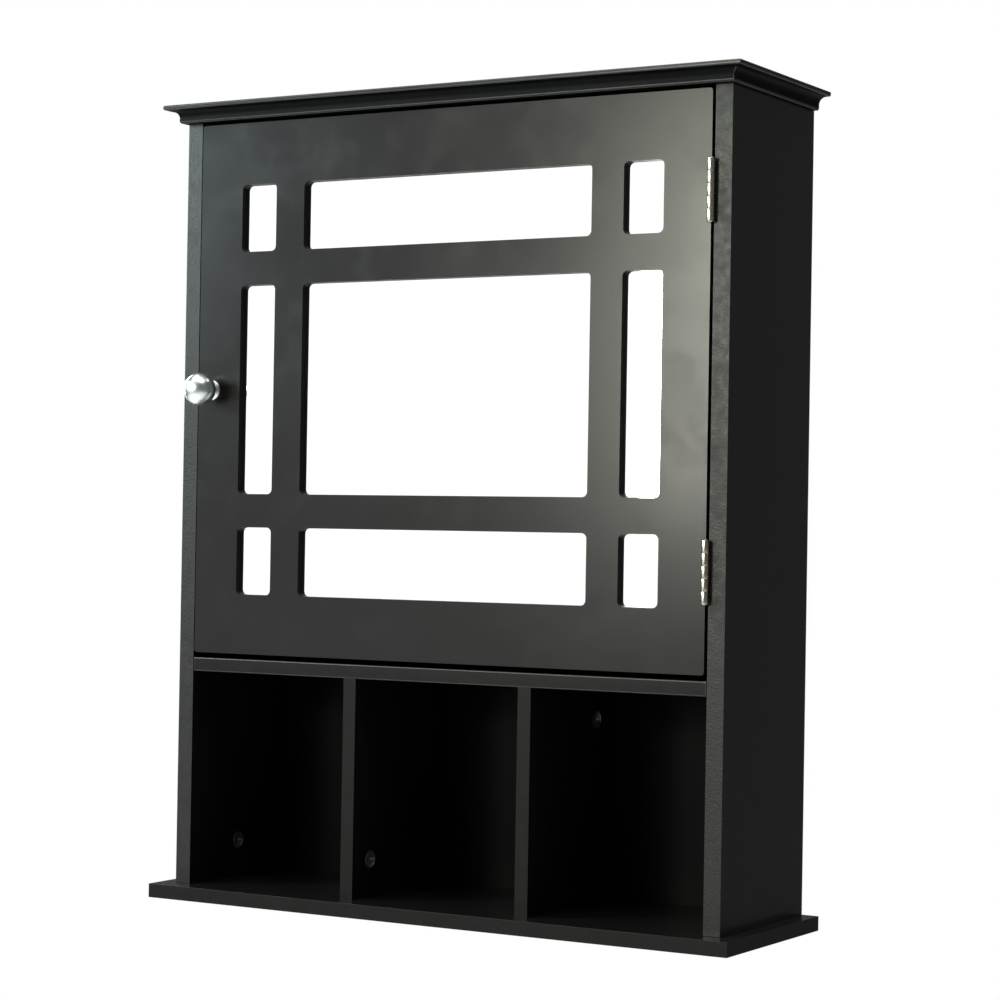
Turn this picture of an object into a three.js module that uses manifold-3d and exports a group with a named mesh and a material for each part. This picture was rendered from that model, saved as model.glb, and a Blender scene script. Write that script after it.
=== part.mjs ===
// Wall-hung medicine cabinet: mirrored lattice door above three open cubbies.
// Millimetres, +Z up, front towards -Y, wall plane at y = 0, centre line at x = 0.
// The pieces are drawn with z measured up from the underside of the bottom board, and the
// whole cabinet is then lowered so that the origin is the middle of the hanging rail's
// rear face, where the wall screws go through.
import * as THREE from 'three';
import { mergeVertices } from 'three/addons/utils/BufferGeometryUtils.js';
import Module from 'manifold-3d';

const wasm = await Module();
wasm.setup();

// ---------------------------------------------------------------- driving dimensions
const WIDTH = 560;              // over the crown and the bottom board
const DEPTH = 175;
const HEIGHT = 695;
const SNUG = 0.3;               // gap where one piece is let into another

const BOTTOM_THICK = 12;
const CROWN_THICK = 15;
const SIDE_THICK = 15;
const SIDE_DEPTH = 156;
const SIDE_OUTER = 265;         // x of a side panel's outer face
const SIDE_INNER = SIDE_OUTER - SIDE_THICK;
const CROWN_BASE = HEIGHT - CROWN_THICK;
const LIP = 4;                  // height of the crown's top lip
const COVE_START = 4;           // step in under the lip
const COVE_RADIUS = 6.5;
const ARRIS = 0.8;
const FOOT_ARRIS = 1.2;

const SHELF_THICK = 12;
const SHELF_TOP = 211;          // fixed shelf between the door and the cubbies
const SHELF_BASE = SHELF_TOP - SHELF_THICK;
const DIVIDER_THICK = 12;
const CUBBY_COUNT = 3;

const BACK_THICK = 3;
const BACK_FRONT = -10;         // y of the back panel's front face
const SIDE_GROOVE = 5;
const BOTTOM_GROOVE = 4;
const RAIL_THICK = 15;
const RAIL_HEIGHT = 60;
const RAIL_BASE = CROWN_BASE - RAIL_HEIGHT;
const HANG_HEIGHT = RAIL_BASE + RAIL_HEIGHT / 2;
const WALL_SCREW_X = 180;
const WALL_HOLE = 2.6;
const WALL_SINK = 6;
const WALL_SINK_DEEP = 3.4;

const LOOSE_SHELF_WIDTH = 497;
const LOOSE_SHELF_DEPTH = 120;
const LOOSE_SHELF_THICK = 12;
const PIN_RADIUS = 2.5;
const PIN_HOLE_STEP = 32;
const PIN_HOLE_MIDDLE = 440;    // z of the row that carries the shelf
const PIN_YS = [-112, -30];
const PIN_HALF = 8;
const PIN_STEP_RADIUS = 3.6;
const PIN_STEP = 1.2;

const DOOR_THICK = 15;
const DOOR_HALF = 247.3;        // x of the door's hinge edge
const DOOR_LATCH = 249.2;       // the edge by the knob closes nearer its side panel
const DOOR_BASE = 215.5;
const DOOR_TOP = 677.5;
const DOOR_REAR = -SIDE_DEPTH + DOOR_THICK;
const DOOR_CORNER = 2.5;
const STILE = 41.8;             // outer frame width beside the openings
const SLOT_WIDTH = 36;          // narrow openings left and right
const BAR = 29;                 // lattice bars
const RAIL_UNDER = 51.5;        // outer frame height under the openings
const SLOT_HEIGHT = 58.5;       // low openings top and bottom
const MIDDLE_HEIGHT = 181.5;
const OPENING_CORNER = 4.5;
const LATTICE_THICK = 5.2;      // material in front of the mirror
const MIRROR_THICK = 3;
const BACKING_THICK = 3;
const MIRROR_LAP = 6;           // how far the mirror recess runs past the openings
const BACKING_LAP = 10.5;       // how far the backing recess runs past the mirror's

const KNOB_X = -234.5;
const KNOB_Z = 445;
const KNOB_BALL = 14;
const KNOB_REACH = 18.5;        // door face to the ball's centre

const HINGE_HEIGHT = 50;
const HINGE_INSET = 81;         // door end to the hinge's middle
const KNUCKLES = 5;
const BARREL_RADIUS = 3.2;
const BARREL_BORE = 1.35;
const HINGE_PIN_RADIUS = 1.2;
const LEAF_THICK = 1;
const LEAF_REACH = 14;          // along the board's edge, from its front
const AXIS_X = (DOOR_HALF + SIDE_INNER) / 2;
const AXIS_Y = -SIDE_DEPTH - BARREL_RADIUS - SNUG;
const HINGE_SCREW_Z = 15;       // each side of the hinge's middle
const HINGE_SCREW_Y = -SIDE_DEPTH + DOOR_THICK / 2;

const CAM_RADIUS = 7.5;
const CAM_SETBACK = 32;         // board end to the cam's centre
const CAM_DEPTH_SIDE = 12;
const CAM_DEPTH_DIVIDER = 9.5;
const CAM_Y = { side: -84, divider_left: -128, divider_right: -41 };
const CAM_SLOT = 3.3;           // radius of the slot for the bolt's head
const CAM_SLOT_BACK = 2.4;      // how far the slot starts behind the cam's centre
const DRIVE_REACH = 4;          // cross recess, from the centre
const DRIVE_WIDTH = 0.7;
const DRIVE_DEEP = 1.8;
const BOLT_BORE = 4;
const BOLT_THREAD = 2.4;
const BOLT_BITE = 9;            // thread length in the mating board
const CLEAR = 0.2;              // radial clearance of bores round their fasteners

const CATCH_Z = 560;
const CATCH_X = -243;           // middle of the magnet
const PLATE_THICK = 1;

const CATCH_SCREW_Y = -133;
const CATCH_SCREW_Z = 19;       // each side of the catch's middle
const FLANGE_THICK = 3;
const FLANGE_HALF = 24;
const HOUSING_HALF_WIDTH = 6;
const HOUSING_DEEP = 13.5;
const HOUSING_HALF = 15;
const MAGNET_HALF_WIDTH = 3;
const MAGNET_DEEP = 9.3;
const MAGNET_HALF = 11;
const STRIKE_HALF_WIDTH = 4;
const STRIKE_SCREW_Z = CATCH_Z - 22;

const WOOD_SCREW = 1.5;         // radii
const WOOD_HEAD = 2.8;
const SMALL_SCREW = 1.3;
const SMALL_HEAD = 2.6;
const SMALL_HEAD_TALL = 1.8;
const KNOB_SCREW = 2;
const HINGE_SCREW_BITE = 11;    // lengths in the wood
const BACKING_SCREW_BITE = 9;
const BACKING_SCREW_MARGIN = 5;
const CATCH_SCREW_BITE = 9;

const SCREW_SIDES = 8;
const ROUND_SIDES = 20;

// ---------------------------------------------------------------- finishes
const finish = (color, roughness, metalness) => ({ color, roughness, metalness });
const BLACK_PAINT = finish(0x1c1c1d, 0.36, 0);
const RAW_BOARD = finish(0x8a6a4a, 0.85, 0);
const MIRROR = finish(0xe8ecee, 0.03, 1);
const CHROME = finish(0xd8dadc, 0.08, 1);
const NICKEL = finish(0xb9b7a6, 0.28, 1);
const ZINC = finish(0xa9aaa8, 0.45, 1);
const STEEL = finish(0x8f9294, 0.4, 1);
const BLACK_PLASTIC = finish(0x2a2a2b, 0.5, 0);
const MAGNET = finish(0x4a4b4d, 0.55, 0.6);

// ---------------------------------------------------------------- solid helpers
function closed(geometry) {
  const bare = geometry.clone();
  bare.deleteAttribute('normal');
  bare.deleteAttribute('uv');
  const merged = mergeVertices(bare, 1e-4);
  const index = merged.index.array;
  const kept = [];
  for (let i = 0; i < index.length; i += 3) {
    const [a, b, c] = [index[i], index[i + 1], index[i + 2]];
    if (a !== b && b !== c && c !== a) kept.push(a, b, c);
  }
  merged.setIndex(kept);
  return merged;
}

function solidOf(geometry) {
  const clean = closed(geometry);
  return new wasm.Manifold(new wasm.Mesh({
    numProp: 3,
    vertProperties: new Float32Array(clean.attributes.position.array),
    triVerts: new Uint32Array(clean.index.array),
  }));
}

function geometryOf(solid) {
  const mesh = solid.getMesh();
  const geometry = new THREE.BufferGeometry();
  geometry.setAttribute('position', new THREE.BufferAttribute(mesh.vertProperties, 3));
  geometry.setIndex(new THREE.BufferAttribute(mesh.triVerts, 1));
  return geometry;
}

function cut(geometry, tools) {
  let solid = solidOf(geometry);
  for (const tool of tools) solid = solid.subtract(solidOf(tool));
  return geometryOf(solid);
}

function join(geometries) {
  let solid = solidOf(geometries[0]);
  for (const next of geometries.slice(1)) solid = solid.add(solidOf(next));
  return geometryOf(solid);
}

function block(x0, x1, y0, y1, z0, z1) {
  const geometry = new THREE.BoxGeometry(x1 - x0, y1 - y0, z1 - z0);
  return geometry.translate((x0 + x1) / 2, (y0 + y1) / 2, (z0 + z1) / 2);
}

// Turns local +Y to a direction, the same way for a hole and for what goes into it.
function turnTo(direction) {
  const up = new THREE.Vector3(0, 1, 0);
  return new THREE.Quaternion().setFromUnitVectors(up, new THREE.Vector3(...direction));
}

// A round bar from a point along a unit direction.
function rod(start, direction, radius, length, sides = SCREW_SIDES) {
  const geometry = new THREE.CylinderGeometry(radius, radius, length, sides);
  geometry.translate(0, length / 2, 0);
  geometry.applyQuaternion(turnTo(direction));
  return geometry.translate(...start);
}

// A turned piece: [radius, height] points from the axis at the foot to the axis at the head.
function turned(points, sides = SCREW_SIDES) {
  return new THREE.LatheGeometry(points.map(([r, h]) => new THREE.Vector2(r, h)), sides);
}

function roundedOutline(Path, x0, x1, z0, z1, radius) {
  const path = new Path();
  path.moveTo(x0 + radius, z0);
  path.absarc(x1 - radius, z0 + radius, radius, -Math.PI / 2, 0);
  path.absarc(x1 - radius, z1 - radius, radius, 0, Math.PI / 2);
  path.absarc(x0 + radius, z1 - radius, radius, Math.PI / 2, Math.PI);
  path.absarc(x0 + radius, z0 + radius, radius, Math.PI, Math.PI * 1.5);
  path.closePath();
  return path;
}

// An outline in the XZ plane given a thickness forward of rearY.
function slab(shape, rearY, thickness, curveSegments) {
  const geometry = new THREE.ExtrudeGeometry(shape, {
    depth: thickness, bevelEnabled: false, curveSegments,
  });
  geometry.rotateX(Math.PI / 2);
  return geometry.translate(0, rearY, 0);
}

// ---------------------------------------------------------------- the assembly
const cabinet = new THREE.Group();
cabinet.position.z = -HANG_HEIGHT;

function add(name, geometry, look, position = [0, 0, 0], direction = [0, 1, 0]) {
  const mesh = new THREE.Mesh(closed(geometry), new THREE.MeshStandardMaterial(look));
  mesh.name = name;
  mesh.position.set(...position);
  mesh.quaternion.copy(turnTo(direction));
  cabinet.add(mesh);
}

const SIDES = [['left', -1], ['right', 1]];

// Cam joints: cam centre, the face it is let into, and the way its bolt points.
const CAM_JOINTS = [];
for (const [side, sign] of SIDES) {
  const face = [sign * SIDE_INNER, CAM_Y.side];
  const bottom = BOTTOM_THICK + CAM_SETBACK;
  const top = CROWN_BASE - CAM_SETBACK;
  CAM_JOINTS.push({ name: `${side}_bottom`, board: `side_${side}`, mate: 'bottom',
    face, z: bottom, into: sign, way: -1, depth: CAM_DEPTH_SIDE, middle: SIDE_THICK / 2 });
  CAM_JOINTS.push({ name: `${side}_top`, board: `side_${side}`, mate: 'crown',
    face, z: top, into: sign, way: 1, depth: CAM_DEPTH_SIDE, middle: SIDE_THICK / 2 });
}
const dividerX = (sign) => sign * (2 * SIDE_INNER / CUBBY_COUNT + DIVIDER_THICK / CUBBY_COUNT) / 2;
CAM_JOINTS.push({ name: 'divider_left', board: 'divider_left', mate: 'bottom',
  face: [dividerX(-1) + DIVIDER_THICK / 2, CAM_Y.divider_left], z: BOTTOM_THICK + CAM_SETBACK,
  into: -1, way: -1, depth: CAM_DEPTH_DIVIDER, middle: DIVIDER_THICK / 2 });
CAM_JOINTS.push({ name: 'divider_right', board: 'divider_right', mate: 'shelf',
  face: [dividerX(1) + DIVIDER_THICK / 2, CAM_Y.divider_right], z: SHELF_BASE - CAM_SETBACK,
  into: -1, way: 1, depth: CAM_DEPTH_DIVIDER, middle: DIVIDER_THICK / 2 });

const boltPoint = (joint) => [joint.face[0] + joint.into * joint.middle, joint.face[1], joint.z];

// Bores that a cam and its bolt need in the board they are let into.
function camBores(board) {
  const tools = [];
  for (const joint of CAM_JOINTS.filter((each) => each.board === board)) {
    const outside = [joint.face[0] - joint.into, joint.face[1], joint.z];
    tools.push(rod(outside, [joint.into, 0, 0], CAM_RADIUS + CLEAR, joint.depth + 1 + SNUG,
      ROUND_SIDES));
    tools.push(rod(boltPoint(joint), [0, 0, joint.way], BOLT_BORE, CAM_SETBACK + 1));
  }
  return tools;
}

// Thread holes that the bolts need in the board they screw into.
function boltHoles(mate) {
  return CAM_JOINTS.filter((each) => each.mate === mate).map((joint) => {
    const [x, y, z] = boltPoint(joint);
    const start = z + joint.way * (CAM_SETBACK - 1);
    return rod([x, y, start], [0, 0, joint.way], BOLT_THREAD + CLEAR, BOLT_BITE + 1 + SNUG);
  });
}

// ---------------------------------------------------------------- carcass boards
// The crown's edge moulding as [inset, drop] from its top outer edge: a soft arris, a thin
// lip, a step in and a hollow quarter round that runs down to a small bottom arris.
function crownProfile() {
  const points = [[ARRIS, 0], [0, ARRIS], [0, LIP - ARRIS], [ARRIS, LIP], [COVE_START, LIP]];
  const steps = 6;
  for (let i = 1; i <= steps; i += 1) {
    const turn = (i / steps) * Math.PI / 2;
    points.push([COVE_START + COVE_RADIUS * Math.sin(turn),
      LIP + COVE_RADIUS * (1 - Math.cos(turn))]);
  }
  const foot = COVE_START + COVE_RADIUS;
  points.push([foot, CROWN_THICK - FOOT_ARRIS], [foot + FOOT_ARRIS, CROWN_THICK]);
  return points;
}

// A board whose front and side edges follow a profile and whose rear edge is square.
function mouldedBoard(profile, top) {
  const rings = profile.map(([inset, drop]) => {
    const half = WIDTH / 2 - inset;
    const front = -DEPTH + inset;
    const z = top - drop;
    return [[-half, 0, z], [-half, front, z], [half, front, z], [half, 0, z]];
  });
  const triangles = [];
  for (let k = 0; k < rings.length - 1; k += 1) {
    for (let i = 0; i < 4; i += 1) {
      const j = (i + 1) % 4;
      const [a, b, c, d] = [rings[k][i], rings[k + 1][i], rings[k + 1][j], rings[k][j]];
      triangles.push(a, b, c, a, c, d);
    }
  }
  const [first, last] = [rings[0], rings[rings.length - 1]];
  triangles.push(first[0], first[1], first[2], first[0], first[2], first[3]);
  triangles.push(last[0], last[2], last[1], last[0], last[3], last[2]);
  const geometry = new THREE.BufferGeometry();
  geometry.setAttribute('position', new THREE.Float32BufferAttribute(triangles.flat(), 3));
  return geometry;
}

function crownBoard() {
  return cut(mouldedBoard(crownProfile(), HEIGHT), boltHoles('crown'));
}

function bottomBoard() {
  const board = block(-WIDTH / 2, WIDTH / 2, -DEPTH, 0, 0, BOTTOM_THICK);
  const groove = block(-SIDE_INNER - SIDE_GROOVE, SIDE_INNER + SIDE_GROOVE,
    BACK_FRONT - SNUG, BACK_FRONT + BACK_THICK + SNUG,
    BOTTOM_THICK - BOTTOM_GROOVE, BOTTOM_THICK + 1);
  return cut(board, [groove, ...boltHoles('bottom')]);
}

function pinHoles(sign) {
  const tools = [];
  for (const y of PIN_YS) {
    for (const step of [-1, 0, 1]) {
      const start = [sign * (SIDE_INNER - 1), y, PIN_HOLE_MIDDLE + step * PIN_HOLE_STEP];
      tools.push(rod(start, [sign, 0, 0], PIN_RADIUS + CLEAR / 2, 9 + SNUG));
    }
  }
  return tools;
}

function sidePanel(side, sign) {
  const xs = [sign * SIDE_INNER, sign * SIDE_OUTER].sort((a, b) => a - b);
  const board = block(xs[0], xs[1], -SIDE_DEPTH, 0, BOTTOM_THICK, CROWN_BASE);
  const gx = [sign * (SIDE_INNER - 1), sign * (SIDE_INNER + SIDE_GROOVE)].sort((a, b) => a - b);
  const groove = block(gx[0], gx[1], BACK_FRONT - SNUG, BACK_FRONT + BACK_THICK + SNUG,
    BOTTOM_THICK - 1, RAIL_BASE + SIDE_GROOVE);
  const tools = [groove, ...pinHoles(sign), ...camBores(`side_${side}`)];
  if (sign > 0) {
    for (const place of hingeScrewPlaces(SIDE_INNER - 1)) {
      tools.push(rod(place, [1, 0, 0], WOOD_SCREW + CLEAR / 2, HINGE_SCREW_BITE + 1 + SNUG));
    }
  } else {
    for (const z of catchScrewZs()) {
      tools.push(rod([-SIDE_INNER + 1, CATCH_SCREW_Y, z], [-1, 0, 0], SMALL_SCREW + CLEAR / 2,
        CATCH_SCREW_BITE + 1 + SNUG));
    }
  }
  return cut(board, tools);
}

function fixedShelf() {
  const board = block(-SIDE_INNER, SIDE_INNER, -SIDE_DEPTH, BACK_FRONT - SNUG,
    SHELF_BASE, SHELF_TOP);
  return cut(board, boltHoles('shelf'));
}

function divider(side, sign) {
  const middle = dividerX(sign);
  const board = block(middle - DIVIDER_THICK / 2, middle + DIVIDER_THICK / 2, -SIDE_DEPTH,
    BACK_FRONT - SNUG, BOTTOM_THICK, SHELF_BASE);
  return cut(board, camBores(`divider_${side}`));
}

function backPanel() {
  const half = SIDE_INNER + SIDE_GROOVE - SNUG;
  return block(-half, half, BACK_FRONT, BACK_FRONT + BACK_THICK,
    BOTTOM_THICK - BOTTOM_GROOVE + SNUG, RAIL_BASE + SIDE_GROOVE - SNUG);
}

function hangingRail() {
  const rail = block(-SIDE_INNER, SIDE_INNER, -RAIL_THICK, 0, RAIL_BASE, CROWN_BASE);
  const tools = [block(-SIDE_INNER - 1, SIDE_INNER + 1, BACK_FRONT - SNUG,
    BACK_FRONT + BACK_THICK + SNUG, RAIL_BASE - 1, RAIL_BASE + SIDE_GROOVE)];
  for (const sign of [-1, 1]) {
    // clearance hole and a countersink that opens towards the front
    const top = RAIL_THICK + 0.4;
    const hole = turned([[0, -1], [WALL_HOLE, -1], [WALL_HOLE, top - WALL_SINK_DEEP],
      [WALL_SINK, top], [0, top]], ROUND_SIDES);
    hole.applyQuaternion(turnTo([0, -1, 0]));
    tools.push(hole.translate(sign * WALL_SCREW_X, 0, HANG_HEIGHT));
  }
  return cut(rail, tools);
}

function looseShelf() {
  const rear = BACK_FRONT - 1;
  const base = PIN_HOLE_MIDDLE + PIN_RADIUS;
  return block(-LOOSE_SHELF_WIDTH / 2, LOOSE_SHELF_WIDTH / 2, rear - LOOSE_SHELF_DEPTH, rear,
    base, base + LOOSE_SHELF_THICK);
}

// Stepped shelf pin; height 0 is the panel's face.
function shelfPin() {
  const tip = PIN_RADIUS - 0.5;
  return turned([[0, -PIN_HALF], [tip, -PIN_HALF], [PIN_RADIUS, -PIN_HALF + 0.5], [PIN_RADIUS, 0],
    [PIN_STEP_RADIUS, 0], [PIN_STEP_RADIUS, PIN_STEP], [PIN_RADIUS, PIN_STEP],
    [PIN_RADIUS, PIN_HALF - 0.5], [tip, PIN_HALF], [0, PIN_HALF]]);
}

// ---------------------------------------------------------------- door
const slotOuter = DOOR_HALF - STILE;
const slotInner = slotOuter - SLOT_WIDTH;
const middleHalf = slotInner - BAR;
const COLUMNS = [[-slotOuter, -slotInner], [-middleHalf, middleHalf], [slotInner, slotOuter]];
const lowRow = DOOR_BASE + RAIL_UNDER;
const middleRow = lowRow + SLOT_HEIGHT + BAR;
const topRow = middleRow + MIDDLE_HEIGHT + BAR;
const ROWS = [[lowRow, lowRow + SLOT_HEIGHT], [middleRow, middleRow + MIDDLE_HEIGHT],
  [topRow, topRow + SLOT_HEIGHT]];
const mirrorHalf = slotOuter + MIRROR_LAP;
const mirrorBase = lowRow - MIRROR_LAP;
const mirrorTop = topRow + SLOT_HEIGHT + MIRROR_LAP;
const mirrorFace = -SIDE_DEPTH + LATTICE_THICK;
const ledgeY = mirrorFace + MIRROR_THICK + 0.2;
const backingHalf = mirrorHalf + BACKING_LAP;
const backingBase = mirrorBase - BACKING_LAP;
const backingTop = mirrorTop + BACKING_LAP;
const backingRear = ledgeY + BACKING_THICK;

const catchScrewZs = () => [CATCH_Z - CATCH_SCREW_Z, CATCH_Z + CATCH_SCREW_Z];

const hingeMiddles = [['top', DOOR_TOP - HINGE_INSET], ['bottom', DOOR_BASE + HINGE_INSET]];

function hingeScrewPlaces(x) {
  return hingeMiddles.flatMap(([, middle]) => [1, -1].map((way) => (
    [x, HINGE_SCREW_Y, middle + way * HINGE_SCREW_Z])));
}

function backingScrewPlaces() {
  const x = backingHalf - BACKING_SCREW_MARGIN;
  const low = backingBase + BACKING_SCREW_MARGIN;
  const high = backingTop - BACKING_SCREW_MARGIN;
  const middle = (low + high) / 2;
  return [[-x, low], [0, low], [x, low], [-x, middle], [x, middle],
    [-x, high], [0, high], [x, high]];
}

function doorFrame() {
  const outline = roundedOutline(THREE.Shape, -DOOR_LATCH, DOOR_HALF, DOOR_BASE, DOOR_TOP,
    DOOR_CORNER);
  for (const [x0, x1] of COLUMNS) {
    for (const [z0, z1] of ROWS) {
      outline.holes.push(roundedOutline(THREE.Path, x0, x1, z0, z1, OPENING_CORNER));
    }
  }
  const tools = [
    block(-mirrorHalf, mirrorHalf, mirrorFace, 0, mirrorBase, mirrorTop),
    block(-backingHalf, backingHalf, ledgeY, 0, backingBase, backingTop),
    rod([KNOB_X, -SIDE_DEPTH - 1, KNOB_Z], [0, 1, 0], KNOB_SCREW + CLEAR, DOOR_THICK + 2),
    rod([CATCH_X, DOOR_REAR + 1, STRIKE_SCREW_Z], [0, -1, 0], SMALL_SCREW + CLEAR / 2, 9),
  ];
  for (const place of hingeScrewPlaces(DOOR_HALF + 1)) {
    tools.push(rod(place, [-1, 0, 0], WOOD_SCREW + CLEAR / 2, HINGE_SCREW_BITE + 1 + SNUG));
  }
  for (const [x, z] of backingScrewPlaces()) {
    tools.push(rod([x, ledgeY + 1, z], [0, -1, 0], SMALL_SCREW + CLEAR / 2,
      BACKING_SCREW_BITE + 1 + SNUG - BACKING_THICK));
  }
  return cut(slab(outline, DOOR_REAR, DOOR_THICK, 3), tools);
}

function mirrorGlass() {
  const gap = 0.5;
  return block(-mirrorHalf + gap, mirrorHalf - gap, mirrorFace + 0.1,
    mirrorFace + 0.1 + MIRROR_THICK, mirrorBase + gap, mirrorTop - gap);
}

function mirrorBacking() {
  const board = block(-backingHalf + SNUG, backingHalf - SNUG, ledgeY, backingRear,
    backingBase + SNUG, backingTop - SNUG);
  return cut(board, backingScrewPlaces().map(([x, z]) => (
    rod([x, backingRear + 1, z], [0, -1, 0], SMALL_SCREW + CLEAR / 2, BACKING_THICK + 2))));
}

// Countersunk screw; height 0 is the top of its head.
function flatScrew(shank, length) {
  return turned([[0, -length], [shank * 0.5, -length + 1.5], [shank, -length + 3],
    [shank, -LEAF_THICK], [WOOD_HEAD, -0.05], [WOOD_HEAD - 0.3, 0], [1.1, 0], [0, -0.7]]);
}

// Pan-head screw; height 0 is the surface under its head.
function panScrew(shank, length, head, tall) {
  return turned([[0, -length], [shank * 0.5, -length + 1.5], [shank, -length + 3], [shank, 0],
    [head, 0], [head, tall * 0.45], [head * 0.62, tall * 0.9], [1.1, tall], [0, tall * 0.6]]);
}

// Knob in profile from the door's face outward: flared base, waist, ball.
function knob() {
  const points = [[0, 0], [8.4, 0], [8.7, 0.4], [8.7, 1.6], [7.2, 2.6], [5.6, 4.2], [5.2, 5.4]];
  const start = Math.asin(5.2 / KNOB_BALL);
  const steps = 9;
  for (let i = 0; i <= steps; i += 1) {
    const turn = start + (Math.PI - start) * (i / steps);
    points.push([KNOB_BALL * Math.sin(turn), KNOB_REACH - KNOB_BALL * Math.cos(turn)]);
  }
  points[points.length - 1][0] = 0;
  const body = turned(points, ROUND_SIDES);
  return cut(body, [rod([0, -1, 0], [0, 1, 0], KNOB_SCREW + CLEAR, 11)]);
}

// ---------------------------------------------------------------- butt hinges
// A leaf in place: plate against its board, every other knuckle, bored for the pin.
function hingeLeaf(middle, plateX, first, screwWay) {
  const z0 = middle - HINGE_HEIGHT / 2;
  const plate = [plateX, plateX + LEAF_THICK];
  const parts = [block(...plate, -SIDE_DEPTH, -SIDE_DEPTH + LEAF_REACH, z0, z0 + HINGE_HEIGHT)];
  const step = HINGE_HEIGHT / KNUCKLES;
  for (let k = first; k < KNUCKLES; k += 2) {
    const low = z0 + k * step + 0.1;
    const tall = step - 0.2;
    parts.push(rod([AXIS_X, AXIS_Y, low], [0, 0, 1], BARREL_RADIUS, tall, 14));
    parts.push(block(...plate, AXIS_Y + 0.5, -SIDE_DEPTH + 1, low, low + tall));
  }
  const tools = [rod([AXIS_X, AXIS_Y, z0 - 1], [0, 0, 1], BARREL_BORE, HINGE_HEIGHT + 2)];
  const outer = screwWay > 0 ? plate[0] : plate[1];
  for (const way of [1, -1]) {
    const sink = turned([[0, -LEAF_THICK - 0.5], [WOOD_SCREW + CLEAR, -LEAF_THICK - 0.5],
      [WOOD_SCREW + CLEAR, -LEAF_THICK], [WOOD_HEAD + CLEAR, 0], [WOOD_HEAD + CLEAR, 0.5],
      [0, 0.5]]);
    sink.applyQuaternion(turnTo([-screwWay, 0, 0]));
    tools.push(sink.translate(outer, HINGE_SCREW_Y, middle + way * HINGE_SCREW_Z));
  }
  return cut(join(parts), tools);
}

function hingePin() {
  const half = HINGE_HEIGHT / 2;
  return turned([[0, -half - 0.9], [1.3, -half - 0.9], [2.2, -half - 0.5], [2.2, -half],
    [HINGE_PIN_RADIUS, -half], [HINGE_PIN_RADIUS, half], [2.2, half], [2.2, half + 0.5],
    [1.3, half + 0.9], [0, half + 0.9]]);
}

function addHinges() {
  for (const [end, middle] of hingeMiddles) {
    add(`hinge_${end}_cabinet_leaf`, hingeLeaf(middle, SIDE_INNER - LEAF_THICK, 0, 1), NICKEL);
    add(`hinge_${end}_door_leaf`, hingeLeaf(middle, DOOR_HALF, 1, -1), NICKEL);
    add(`hinge_${end}_pin`, hingePin(), NICKEL, [AXIS_X, AXIS_Y, middle], [0, 0, 1]);
    for (const [order, way] of [['upper', 1], ['lower', -1]]) {
      const z = middle + way * HINGE_SCREW_Z;
      const length = HINGE_SCREW_BITE + LEAF_THICK;
      add(`hinge_${end}_cabinet_screw_${order}`, flatScrew(WOOD_SCREW, length), NICKEL,
        [SIDE_INNER - LEAF_THICK, HINGE_SCREW_Y, z], [-1, 0, 0]);
      add(`hinge_${end}_door_screw_${order}`, flatScrew(WOOD_SCREW, length), NICKEL,
        [DOOR_HALF + LEAF_THICK, HINGE_SCREW_Y, z], [1, 0, 0]);
    }
  }
}

// ---------------------------------------------------------------- cam fittings
// Cam drawn with height 0 at its open face; the bolt enters from local +Z.
function cam(depth, middle) {
  const body = turned([[0, -depth], [CAM_RADIUS - 0.4, -depth], [CAM_RADIUS, -depth + 0.4],
    [CAM_RADIUS, -0.4], [CAM_RADIUS - 0.4, 0], [0, 0]], ROUND_SIDES);
  const slot = rod([0, -middle, -CAM_SLOT_BACK], [0, 0, 1], CAM_SLOT, CAM_RADIUS + 4, 10);
  const drives = [
    block(-DRIVE_REACH, DRIVE_REACH, -DRIVE_DEEP, 1, -DRIVE_WIDTH, DRIVE_WIDTH),
    block(-DRIVE_WIDTH, DRIVE_WIDTH, -DRIVE_DEEP, 1, -DRIVE_REACH, DRIVE_REACH),
  ];
  return cut(body, [slot, ...drives]);
}

// Cam bolt with its head at height 0 and its thread end at the far end.
function camBolt() {
  const seat = CAM_SETBACK;
  return turned([[0, -1.6], [2, -1.4], [2.8, 0], [2.2, 1.6], [1.6, 2.2], [1.6, 8], [3.4, 9],
    [3.4, seat], [BOLT_THREAD, seat], [BOLT_THREAD, seat + BOLT_BITE - 1],
    [BOLT_THREAD - 1, seat + BOLT_BITE], [0, seat + BOLT_BITE]]);
}

function addCams() {
  for (const joint of CAM_JOINTS) {
    const geometry = cam(joint.depth, joint.middle);
    // local +Z is the slot's way: turn it up or down, then aim the face out of the board
    if (joint.way < 0) geometry.rotateY(Math.PI);
    const outward = -joint.into;
    geometry.rotateZ(-outward * Math.PI / 2);
    add(`cam_${joint.name}`, geometry, ZINC, [...joint.face, joint.z]);
    add(`cam_bolt_${joint.name}`, camBolt(), STEEL, boltPoint(joint), [0, 0, joint.way]);
  }
}

// ---------------------------------------------------------------- magnetic catch
const catchFront = DOOR_REAR + PLATE_THICK + 0.4;

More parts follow.
